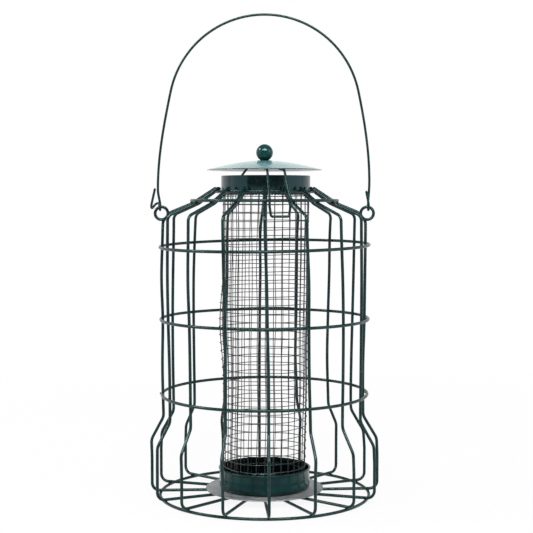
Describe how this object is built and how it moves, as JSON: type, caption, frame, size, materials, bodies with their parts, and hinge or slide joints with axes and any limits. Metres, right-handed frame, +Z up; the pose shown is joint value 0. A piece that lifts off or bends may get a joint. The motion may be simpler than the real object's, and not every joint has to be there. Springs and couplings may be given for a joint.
{
  "type": "caged seed feeder",
  "caption": "Round wire cage about a mesh seed tube, with a cup at its foot, a domed lid on a wire clip and a bail handle hooked in two wire eyelets.",
  "frame": {"origin": "on the cage's axis, at the surface that the feeder stands on", "axes": "+Z up along the cage's axis, -Y to the front where the lid clip's pull loop hangs, X along the handle's hinge line"},
  "size_m": [0.1796, 0.1796, 0.3736],
  "materials": {
    "green_coat": "glossy dark green coating on steel wire",
    "gloss_green": "glossy green enamel",
    "lid_green": "glossy green coating on sheet steel",
    "collar_black": "glossy blue-black coating on sheet steel",
    "mesh_wire": "dull grey-brown coated wire",
    "galvanised": "matte galvanised sheet steel",
    "plated_steel": "zinc-plated fasteners"
  },
  "bodies": {
    "cage": {"base_ring": "green_coat", "cage_rib_01": "green_coat", "cage_rib_02": "green_coat", "cage_rib_03": "green_coat", "cage_rib_04": "green_coat", "cage_rib_05": "green_coat", "cage_rib_06": "green_coat", "cage_rib_07": "green_coat", "cage_rib_08": "green_coat", "cage_rib_09": "green_coat", "cage_rib_10": "green_coat", "cage_rib_11": "green_coat", "cage_rib_12": "green_coat", "cage_rib_13": "green_coat", "cage_rib_14": "green_coat", "cage_rib_15": "green_coat", "cage_rib_16": "green_coat", "lower_hoop": "green_coat", "middle_hoop": "green_coat", "upper_hoop": "green_coat", "shoulder_ring": "green_coat", "top_ring": "green_coat", "base_plate": "galvanised", "cup_washer": "plated_steel", "cup_nut": "plated_steel", "cup_screw": "plated_steel", "seed_cup": "gloss_green", "mesh_tube": "mesh_wire", "top_collar": "collar_black"},
    "lid": {"lid": "lid_green", "knob_dish": "gloss_green", "knob": "gloss_green", "lid_nut": "plated_steel", "lid_clip": "green_coat"},
    "handle": {"handle": "green_coat"}
  },
  "joints": [
    {"name": "lid_tilt", "type": "hinge", "parent": "cage", "child": "lid", "pos_m": [-0.0189, 0.03274, 0.2368], "axis": [-0.866, -0.5, 0], "range_deg": [0, 80]},
    {"name": "handle_swing", "type": "hinge", "parent": "cage", "child": "handle", "pos_m": [0, 0, 0.22497], "axis": [1, 0, 0], "range_deg": [-110, 110]}
  ]
}
